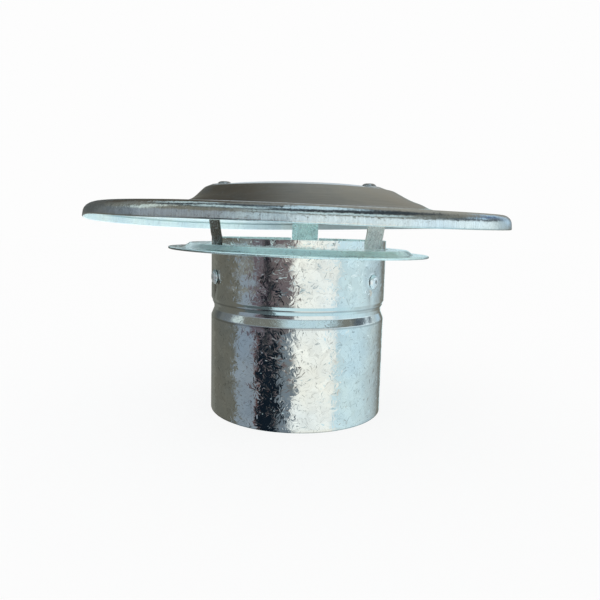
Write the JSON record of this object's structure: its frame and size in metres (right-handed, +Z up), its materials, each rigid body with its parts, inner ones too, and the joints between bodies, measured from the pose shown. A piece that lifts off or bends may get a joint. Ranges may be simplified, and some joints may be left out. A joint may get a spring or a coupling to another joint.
{
  "type": "chimney rain cap",
  "caption": "Galvanised sheet-steel rain cap: round hemmed cap on riveted strap legs over a slip-on flue collar with a stop bead and a flanged ring",
  "frame": {"origin": "centre of the collar's bottom edge, where the flue pipe enters", "axes": "+Z up along the flue, -Y is the front as pictured, +X to its right"},
  "size_m": [0.2412, 0.2412, 0.1324],
  "materials": {
    "galvanised_cap": "hot-dip galvanised sheet, smooth pressed, fine spangle",
    "galvanised_collar": "bright hot-dip galvanised sheet with feathery spangle",
    "galvanised_ring": "galvanised sheet, slightly dull",
    "galvanised_strap": "galvanised strap, drawn lengthways",
    "rivet_sleeve": "bright blind rivet sleeve",
    "rivet_stem": "broken steel mandrel"
  },
  "bodies": {
    "root": {"cap_dish": "galvanised_cap", "collar": "galvanised_collar", "storm_ring": "galvanised_ring", "leg_left": "galvanised_strap", "leg_right": "galvanised_strap", "leg_back": "galvanised_strap", "cap_rivets": "rivet_sleeve", "collar_rivets": "rivet_sleeve", "cap_rivet_pins": "rivet_stem", "collar_rivet_pins": "rivet_stem"}
  },
  "joints": []
}
